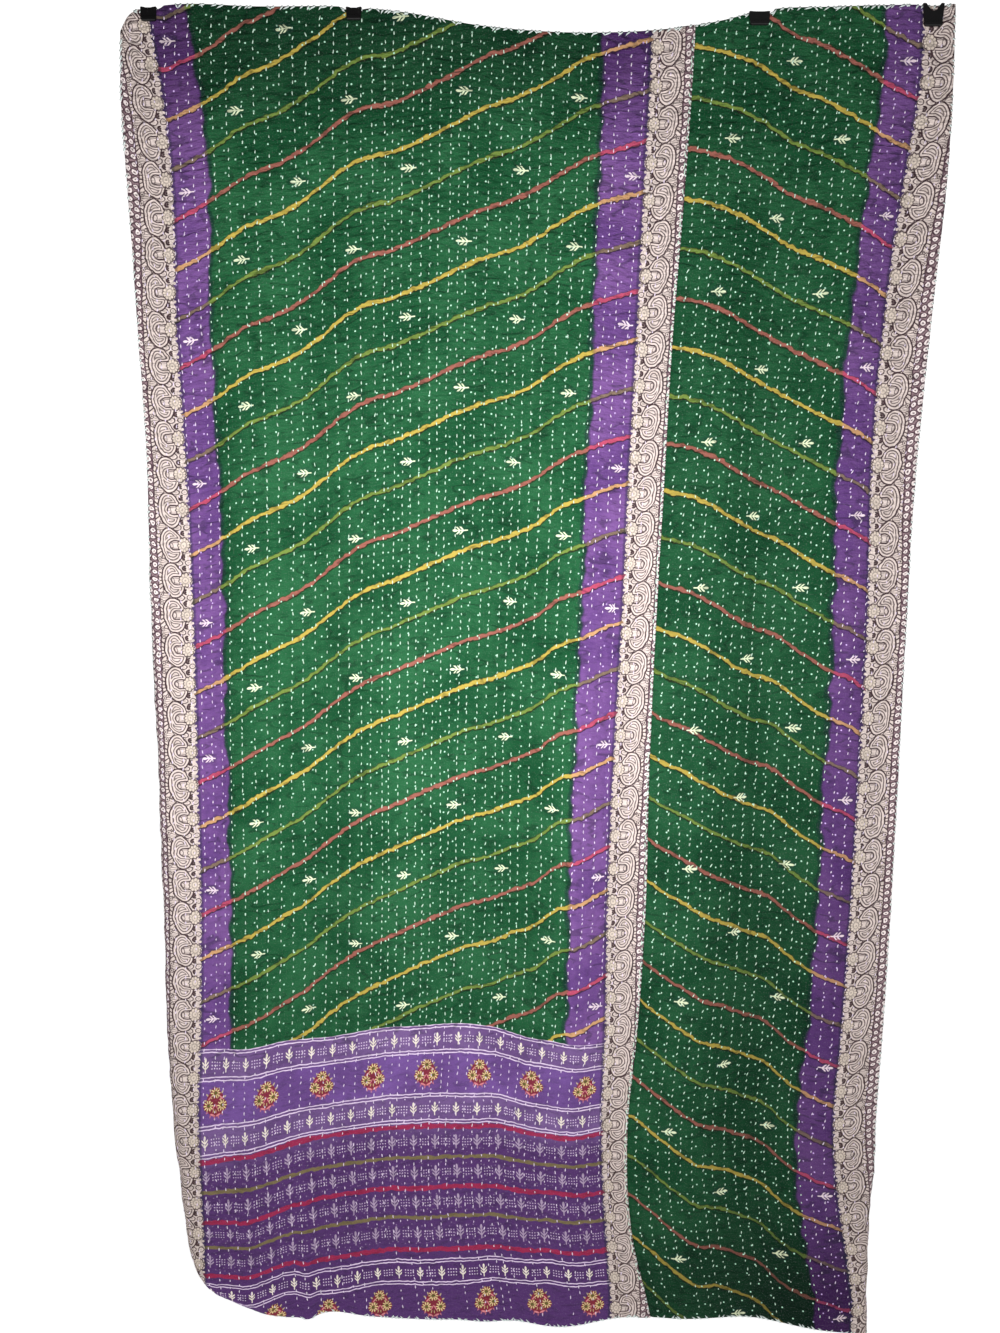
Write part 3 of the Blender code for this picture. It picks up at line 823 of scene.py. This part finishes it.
    # Puckers and creases between the stitches, with painted shade laid in them, and wear on the
    # threads that stand up.
    pucker = drawn_out(46.0, 120.0, 3.0)
    pucker_shade = fall(pucker, -0.28, 0.0) * (rise(past_end, 0.0, 0.2) * 0.1 + 0.18)
    crease = stroke(drawn_out(14.0, 44.0, 1.0), 0.012, 0.06) * rise(ragged, -0.05, 0.08)
    crease_shade = crease * (1 - in_border) * (0.42 - rise(past_end, 0.0, 0.05) * 0.27)
    worn = noise(place, 420.0, 2.0)
    colour = coated(colour, (either(pucker_shade, crease_shade), PAINTED_SHADE_DARK),
                    (rise(worn, 0.05, 0.3) * 0.08, WORN))
    height = pucker * 1.6 - crease * 0.25
    height = height + drawn_out(90.0, 900.0, 1.0) * 0.1 + drawn_out(900.0, 90.0, 1.0) * 0.1
    return finish.surface(colour, 0.86 + worn * 0.12, height, 0.0027, Specular_IOR_Level=0.06)


DOWN = np.concatenate([[0.0, 0.006, 0.016], np.linspace(0.027, 2.262, 234), [2.272, 2.283, DROP]])
TO_A_ROW = 3  # each row's stitched line and two columns on the puff after it
ROW_WANDER = 0.0017  # how far a row of stitches strays to either side
REVERSE_FADED = 0.26  # how much paler the back of the cloth is


def stitched_columns(start, stop, seed):
    """A panel's count of rows, and its columns' shares of its width and phases."""
    chance = np.random.default_rng(seed)
    lines = [start]
    while lines[-1] < stop:
        spacing = np.interp(lines[-1], *ROW_SPACING.T)
        lines.append(lines[-1] + spacing * chance.uniform(0.9, 1.1))
    lines = (np.array(lines) - start) / (lines[-1] - start)
    rows = len(lines) - 1
    marks = np.arange(rows * TO_A_ROW + 1) / TO_A_ROW
    share = np.interp(marks, np.arange(rows + 1), lines)
    phase = np.interp(marks, np.arange(rows + 1), chance.uniform(0, 3.0, rows + 1))
    return rows, share, phase


def wandering(left, right, share, phase):
    """Columns at their shares of the width, which wander a little."""
    wander = ROW_WANDER * np.sin(DOWN[:, None] * 5.5 + phase * 4) * np.sin(np.pi * share)
    return left + (right - left) * share + wander


def half_thickness(across, drop, first, last, seed):
    """Thin on a row of stitches, and fuller and uneven between two rows."""
    half = np.full(across.shape, HEM / 2)
    inner = np.arange(first, last)
    puff = PUFF / 2 * (1 + 0.22 * uneven(across, drop, 0.017, 0.021, seed))
    stitched = STITCHED / 2 * (1 + 0.2 * uneven(across, drop, 0.017, 0.013, seed + 1))
    on_row = (inner - first) % TO_A_ROW == 0
    half[:, inner] = np.where(on_row, stitched[:, inner], puff[:, inner])
    half[[0, 1, -2, -1]] = HEM / 2
    return half


def cotton_sheet(name, across, quilted, hem, lap, lean, seed, print_at, *print_and_shade):
    """A panel as a closed sheet over its flat columns. Returns the piece and its faces.

    Quilted is the range of columns with rows of stitches, hem the plain columns, and lap
    those of the seam, where the sheet leans to the front or back."""
    drop = np.repeat(DOWN[:, None], across.shape[1], axis=1)
    half = half_thickness(across, drop, *quilted, seed)
    half[:, hem] = HEM / 2
    ahead = np.zeros_like(half)
    ahead[:, lap] = lean * (HEM + GAP) / 2
    middle, normal = on_cloth(across, drop)
    front = middle + normal * (ahead + half)[..., None]
    back = middle + normal * (ahead - half)[..., None]
    number = np.arange(across.size).reshape(across.shape)

    def round_edge(over, down):
        """Points down the left side, over, up and back, so far in."""
        return np.concatenate([number[:-1, over], number[-1 - down, :-1],
                               number[:0:-1, -1 - over], number[down, :0:-1]])

    loop, inward = round_edge(0, 0), round_edge(1, 1)
    flat = np.stack([across, drop], axis=-1).reshape(-1, 2)[inward]
    outward = unit(middle.reshape(-1, 3)[loop] - on_cloth(flat[:, 0], flat[:, 1])[0])
    rim = (front.reshape(-1, 3)[loop] + back.reshape(-1, 3)[loop]) / 2 + outward * HEM * 0.3
    points = np.concatenate([front.reshape(-1, 3), back.reshape(-1, 3), rim])
    quads = np.stack([number[:-1, :-1], number[1:, :-1], number[1:, 1:], number[:-1, 1:]], axis=-1)
    quads = quads.reshape(-1, 4)
    ring = 2 * across.size + np.arange(len(loop))
    after, ring_after = np.roll(loop, -1), np.roll(ring, -1)
    faces = np.concatenate([
        quads,
        quads[:, ::-1] + across.size,
        np.stack([after, loop, ring, ring_after], axis=-1),
        np.stack([ring_after, ring, loop + across.size, after + across.size], axis=-1),
    ])
    mesh = bpy.data.meshes.new(name)
    mesh.from_pydata(points.tolist(), [], faces.tolist())
    corner = np.empty(len(mesh.loops), dtype=np.int32)
    mesh.loops.foreach_get("vertex_index", corner)
    for title, values in zip(("print", "lines"), print_at(across, drop)):
        values = values.reshape(-1, 2)
        values = np.concatenate([values, values, values[loop]])
        mesh.uv_layers.new(name=title).data.foreach_set("uv", values[corner].ravel())
    for face, faded in (("print", 0.0), ("reverse", REVERSE_FADED)):
        mesh.materials.append(printed_cotton(f"{name}_{face}", faded, *print_and_shade))
    on_back = np.zeros(len(faces), dtype=np.int32)
    on_back[len(quads):2 * len(quads)] = 1
    mesh.polygons.foreach_set("material_index", on_back)
    mesh.shade_smooth()
    return placed(name, mesh), {"front": front, "back": back, "normal": normal, "across": across}


rows_wide, share, phase = stitched_columns(-0.657, 0.205, 11)
left, seam, right = (curve(SECTIONS, DOWN, n)[:, None] for n in (1, 2, 3))
across = wandering(left, seam - LAP, share, phase)
across = np.concatenate([across, seam + [-LAP / 2, 0.0]], axis=1)
wide, wide_faces = cotton_sheet(
    "wide_panel", across, (0, rows_wide * TO_A_ROW), slice(0, 1), slice(-3, None), 1, 21,
    wide_print, SPRIG_ROW_START, True, 0.0)
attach(wide, "root")
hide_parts("quilt_panel_wide")

# ---- narrow panel ----
# A part-width length of the same print, turned over so that its stripes fall to the
# right. Its raw left edge is sewn down under the wide panel, and its lower right edge
# turns back a little.
NARROW_FIELD_EDGE = mm([
    # below the clips' line, right border's inner edge
    (0, 625), (100, 627), (250, 608), (500, 578), (750, 565), (1000, 568), (1250, 562),
    (1500, 557), (1750, 547), (1900, 540), (2050, 554), (2150, 572), (2250, 590),
])
NARROW_FIELD = 0.378  # flat width from the seam to the border
NARROW_STRIPES = mm([
    # across, how far below the clips the first, fifth and ninth yellow stripes lie
    (180, 52, 990, 1900), (220, 60, 1016, 1928), (260, 65, 1028, 1957), (300, 73, 1049, 1984),
    (340, 85, 1075, 1995), (380, 104, 1094, 2015), (420, 129, 1106, 2032), (460, 143, 1136, 2065),
    (500, 163, 1163, 2084), (540, 186, 1180, 2100), (580, 210, 1205, 2120),
    (620, 228, 1220, 2130),
])
NARROW_SPRIGS = 0.087
NARROW_WEFT_STRETCH = 0.97
NARROW_BORDER_EASE = 0.88  # its border is drawn in less by the stitches
# painted shade over the whole narrow length
NARROW_OVERALL_SHADE = 0.26


def narrow_print(across, drop):
    """Where a point of the narrow panel lies on its print and stripes."""
    below = below_clips(across, drop)
    border = curve(NARROW_FIELD_EDGE, below)
    over = (border - across) / (border - curve(SECTIONS, drop, 2)) * NARROW_FIELD
    over = np.where(across > border, (border - across) * NARROW_BORDER_EASE, over)
    down = NARROW_SPRIGS + (below - NARROW_SPRIGS) * NARROW_WEFT_STRETCH
    courses = [curve(NARROW_STRIPES, across, n) for n in (1, 2, 3)]
    stripe = stepped(list(zip(courses, (0.0, 4.0, 8.0))), below)
    return np.stack([over, down], axis=-1), np.stack([stripe, -np.ones_like(drop)], axis=-1)


rows_narrow, share, phase = stitched_columns(0.215, 0.645, 12)
across = wandering(seam, right, share[1:], phase[1:])
across = np.concatenate([seam + [-LAP, -LAP / 2, 0.0], across], axis=1)
narrow, narrow_faces = cotton_sheet(
    "narrow_panel", across, (2, across.shape[1] - 1), slice(0, 3), slice(0, 3), -1, 31,
    narrow_print, NARROW_SPRIGS, False, NARROW_OVERALL_SHADE)
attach(narrow, "root")
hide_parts("quilt_panel_narrow")

# ---- running stitches ----
# The kantha work: rows of running stitch in white cotton thread through all layers,
# a long stitch and a gap in turn, worked down the back and the front of each panel.
STITCH = 0.0084
STITCH_PITCH = 0.014
THREAD = 0.0028  # width of the doubled thread as it lies
THREAD_RISE = 0.0009
THREAD_SUNK = 0.0004


# Soft white thread with its twist. It has taken a little of the dye that it lies on.
finish = Finish(bpy.data.materials.new("white_thread"))
place = finish.node("TexCoord", out=3)
turned = finish.node("Mapping", {"Vector": place, "Rotation": (0.0, 0.6, 0.0)})
twist = finish.node("TexWave", {"Vector": turned, "Scale": 480.0}, bands_direction="Z")
soil = cloudy(place, 24.0, 3.0)
on_green = finish.node("Attribute", out=2, attribute_name="on_green")
# Painted shade in the grooves of the thread's twist darkens it in bands.
thread_colour = coated(dye(244, 226, 250), (on_green, dye(216, 248, 226)),
                       (rise(soil, 0.4, 0.75) * 0.4, dye(205, 206, 200)),
                       (fall(twist, 0.0, 0.5) * 0.12, dye(176, 178, 170)))
WHITE_THREAD = finish.surface(thread_colour, 0.8 + soil * 0.1, twist, 0.0002)


def on_face(faces, side, over, drop):
    """Place and outward direction on a panel's front or back, by column and drop."""
    row = number_at(DOWN, drop)
    normal = unit(read_net(faces["normal"], over, row))
    return read_net(faces[side], over, row), normal if side == "front" else -normal


def thread_mesh(paths, normals, width, on_green):
    """Short threads through their points, with a ridge and pinched ends."""
    many, steps = paths.shape[:2]
    beside = unit(np.cross(np.gradient(paths, axis=1), normals)) * (width / 2)
    low = paths - normals * THREAD_SUNK
    ring = np.stack([low - beside, paths + normals * THREAD_RISE, low + beside], axis=2)
    ring = ring[:, 1:-1].reshape(many, -1, 3)
    points = np.concatenate([low[:, [0, -1]], ring], axis=1)
    last = 3 * steps - 7
    faces = []
    for side in range(3):
        beyond = (side + 1) % 3
        faces += [(0, 2 + side, 2 + beyond), (1, last + beyond, last + side)]
        for near in range(2, last, 3):
            far = near + 3
            faces += [(near + side, far + side, far + beyond),
                      (near + side, far + beyond, near + beyond)]
    start = (np.arange(many) * points.shape[1])[:, None, None]
    tint = np.repeat(on_green, points.shape[1]).astype(float)
    return points.reshape(-1, 3), (np.array(faces) + start).reshape(-1, 3), tint


def threads(name, parts):
    """One piece from several sets of threads."""
    points, faces, tints = zip(*parts)
    starts = np.cumsum([0, *map(len, points)])
    faces = [part + start for part, start in zip(faces, starts)]
    mesh = bpy.data.meshes.new(name)
    mesh.from_pydata(np.concatenate(points).tolist(), [], np.concatenate(faces).tolist())
    tint = mesh.attributes.new("on_green", "FLOAT", "POINT")
    tint.data.foreach_set("value", np.concatenate(tints))
    mesh.materials.append(WHITE_THREAD)
    mesh.shade_smooth()
    piece = placed(name, mesh)
    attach(piece, "root")
    return piece


def beside_row(faces, over, shift):
    """Column numbers moved sideways by a shift in metres."""
    widths = np.diff(faces["across"][len(DOWN) // 2])
    return over + shift / np.interp(over, np.arange(len(widths)) + 0.5, widths)


def running_stitch(faces, side, lines, slant, long, print_at, seed):
    """Rows of running stitch down a panel."""
    chance = np.random.default_rng(seed)
    pitch = STITCH_PITCH * chance.uniform(0.92, 1.1, len(lines))
    per_row = int((DROP - 0.03) / STITCH_PITCH)
    line, number = np.meshgrid(lines, np.arange(per_row), indexing="ij")
    start = chance.uniform(0, STITCH_PITCH, len(lines))[:, None]
    if side == "back":
        start = start + STITCH_PITCH / 2
    drop = 0.014 + number * pitch[:, None] + start + chance.normal(0, 0.0012, line.shape)
    long = long * chance.uniform(0.6, 1.2, line.shape)
    keep = (chance.uniform(size=line.shape) > 0.06) & (drop < DROP - 0.012)
    line, drop, long = line[keep].astype(float), drop[keep], long[keep]
    lean = np.tan(slant + chance.normal(0, 0.13, line.shape)) * long
    steps = np.linspace(-0.5, 0.5, 4)
    shift = chance.normal(0, 0.0005, line.shape)[:, None] - lean[:, None] * steps
    at_line = beside_row(faces, np.repeat(line[:, None], 4, axis=1), shift)
    places, normals = on_face(faces, side, at_line, drop[:, None] + long[:, None] * steps)
    across = read_net(faces["across"][..., None], line, number_at(DOWN, drop))[..., 0]
    print_place, marks = print_at(across, drop)
    over = print_place[..., 0]
    on_green = (over > VIOLET_LEFT) & (over < FIELD - VIOLET_RIGHT) & (marks[..., 1] < 0)
    return thread_mesh(places, normals, THREAD, on_green)


wide_lines = np.arange(1, rows_wide) * TO_A_ROW
narrow_lines = np.arange(1, rows_narrow) * TO_A_ROW + 2
stitching = {"wide": [], "narrow": []}
for label, faces, lines, slant, long, print_at, seed in (
        ("wide", wide_faces, wide_lines, math.radians(2), STITCH, wide_print, 40),
        ("narrow", narrow_faces, narrow_lines, math.radians(13), STITCH * 0.86, narrow_print, 50)):
    for side, lean in (("front", slant), ("back", -slant)):
        part = running_stitch(faces, side, lines, lean, long, print_at, seed + len(side))
        name = f"running_stitch_{label}_{side}"
        stitching[label].append(threads(name, [part]))

# ---- edge stitches ----
# The turned edges are whipped down by hand with the same thread: bold uneven stitches
# over the top and bottom edges, smaller ones down the sides and along the seam.
WHIPPED = {
    # edge: pitch, reach in from the edge, how far a stitch slants, share left out, seed
    "top": (0.0088, 0.007, 0.0052, 0.1, 60),
    "bottom": (0.0088, 0.007, 0.0052, 0.1, 61),
    "outer side": (0.011, 0.004, 0.002, 0.25, 62),
    "seam side": (0.01, 0.003, 0.002, 0.2, 63),
}
WHIP_THREAD = THREAD * 1.4
WHIP_OUT = 0.0008  # how far it stands off the edge
WHIP_TINT = 0.6  # it lies on every colour of the print
SEAM_LINE = 1.25  # columns of the wide panel's net in from the seam
SEAM_STITCH = 0.0125


def whipping(faces, side, pitch, reach, lean, skip, seed):
    """Slanting stitches over an edge, from its front to its back."""
    chance = np.random.default_rng(seed)
    cols = faces["across"].shape[1]
    if side in ("top", "bottom"):
        count = int(np.abs(faces["across"][0, -1] - faces["across"][0, 0]) / pitch)
        over = np.linspace(1.0, cols - 2.0, count) + chance.normal(0, 0.4, count)
        edge = 0.0 if side == "top" else DROP
        inner = abs(edge - reach * chance.uniform(0.45, 1.25, count))
        lean_by = lean * chance.choice([-1, 1, 1, 1.6], count) * chance.uniform(0.5, 1.5, count)
        spots = [(beside_row(faces, over, -lean_by), inner),
                 (beside_row(faces, over, -lean_by * 0.4), (inner + edge * 2) / 3),
                 (over, np.full(count, edge))]
    else:
        count = int(DROP / pitch)
        drop = np.linspace(0.02, DROP - 0.02, count) + chance.normal(0, 0.001, count)
        edge = np.full(count, 0.0 if side == "left" else cols - 1.0)
        inward = reach * chance.uniform(0.6, 1.25, count) * (1 if side == "left" else -1)
        lean_by = lean * chance.uniform(0.5, 1.5, count)
        spots = [(beside_row(faces, edge, inward), drop - lean_by),
                 (beside_row(faces, edge, inward * 0.3), drop - lean_by * 0.4), (edge, drop)]
    keep = chance.uniform(size=count) > skip
    found = [on_face(faces, face, np.clip(at_over, 0, cols - 1.0)[keep], at_drop[keep])
             for face, order in (("front", spots), ("back", spots[::-1]))
             for at_over, at_drop in order]
    paths, normals = (np.stack(values, axis=1) for values in zip(*found))
    outward = unit(paths[:, 2] + paths[:, 3] - paths[:, 1] - paths[:, 4])[:, None]
    paths[:, 2:4] += outward * WHIP_OUT
    normals[:, 2:4] = normals[:, 2:4] * 0.6 + outward
    return thread_mesh(paths, unit(normals), WHIP_THREAD, np.full(keep.sum(), WHIP_TINT))


for label, faces, outer in (("wide", wide_faces, "left"), ("narrow", narrow_faces, "right")):
    parts = [whipping(faces, side, *WHIPPED[edge]) for side, edge in (
        ("top", "top"), ("bottom", "bottom"), (outer, "outer side"))]
    if label == "wide":
        parts.append(whipping(faces, "right", *WHIPPED["seam side"]))
        line = np.array([faces["across"].shape[1] - SEAM_LINE])
        points, sides, _ = running_stitch(faces, "front", line, 0.0, SEAM_STITCH, wide_print, 70)
        parts.append((points, sides, np.ones(len(points))))
    stitching[label].append(threads(f"edge_stitches_{label}", parts))

clips = ["clip_outer_left", "clip_inner_left", "clip_inner_right", "clip_outer_right"]

# ---- clips ----
# Four black plastic hanger clips that grip the top edge, moulded in one piece with a
# notched bridge and thick lips.
finish = Finish(bpy.data.materials.new("black_clip_plastic"))
place = finish.node("TexCoord", out=3)
grain = cloudy(place, 900.0, 3.0)
worn = rise(cloudy(place, 160.0, 4.0), 0.58, 0.72)
clip_colour = mix(worn * 0.35, dye(9, 8, 9), dye(34, 32, 34))
clip_plastic = finish.surface(clip_colour, 0.42 + worn * 0.2, grain, 0.0002, Specular_IOR_Level=0.25)
for name in clips:
    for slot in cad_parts[name].material_slots:
        slot.material = clip_plastic

# ---- floor and light ----
# A plain pale floor under the hanging quilt, a white surround, one soft lamp near the
# viewer that is brightest on the middle of the cloth, and a wide soft light from above.
FLOOR_Z = -2.42
WHITE = (1, 1, 1, 1)
bpy.ops.object.select_all(action="DESELECT")
bpy.ops.mesh.primitive_plane_add(size=14, location=(0, 0, FLOOR_Z))
bpy.ops.object.transform_apply(location=True, rotation=True, scale=True)
floor = bpy.context.object
floor.name = "floor"
finish = Finish(bpy.data.materials.new("pale_floor"))
grain = cloudy(finish.node("TexCoord", out=3), 3.0)
floor_tone = mix(grain, (0.93, 0.93, 0.93, 1), (0.97, 0.97, 0.97, 1))
floor.data.materials.append(finish.surface(
    floor_tone, 0.9, grain, 0.0001, Emission_Color=WHITE, Emission_Strength=0.93))

scene.world = bpy.data.worlds.new("surround")
surround = Finish(scene.world)
seen = surround.node("Background", {"Color": WHITE, "Strength": 1.1})
lights = surround.node("Background", {"Color": WHITE, "Strength": 0.12})
choice = {0: surround.node("LightPath"), 1: lights, 2: seen}
surround.node("OutputWorld", {"Surface": surround.node("MixShader", choice)})

LAMPS = [
    # name, place, looks at, size, power
    ("lamp_near_viewer", (-0.1, -1.18, -0.98), (-0.1, 0.0, -0.98), 0.35, 19.8),
    ("soft_light_above", (0.9, -2.2, 1.0), (0.0, 0.0, -1.1), 2.0, 4.0),
]
for name, place, target, size, power in LAMPS:
    lamp = bpy.data.lights.new(name, "AREA")
    lamp.shape = "DISK"
    lamp.size = size
    lamp.energy = power
    holder = placed(name, lamp)
    holder.location = place
    aim = np.array(target) - np.array(place)
    flat = math.hypot(aim[0], aim[1])
    holder.rotation_euler = (math.atan2(flat, -aim[2]), 0, math.atan2(aim[1], aim[0]) - math.pi / 2)
    holder.visible_camera = False
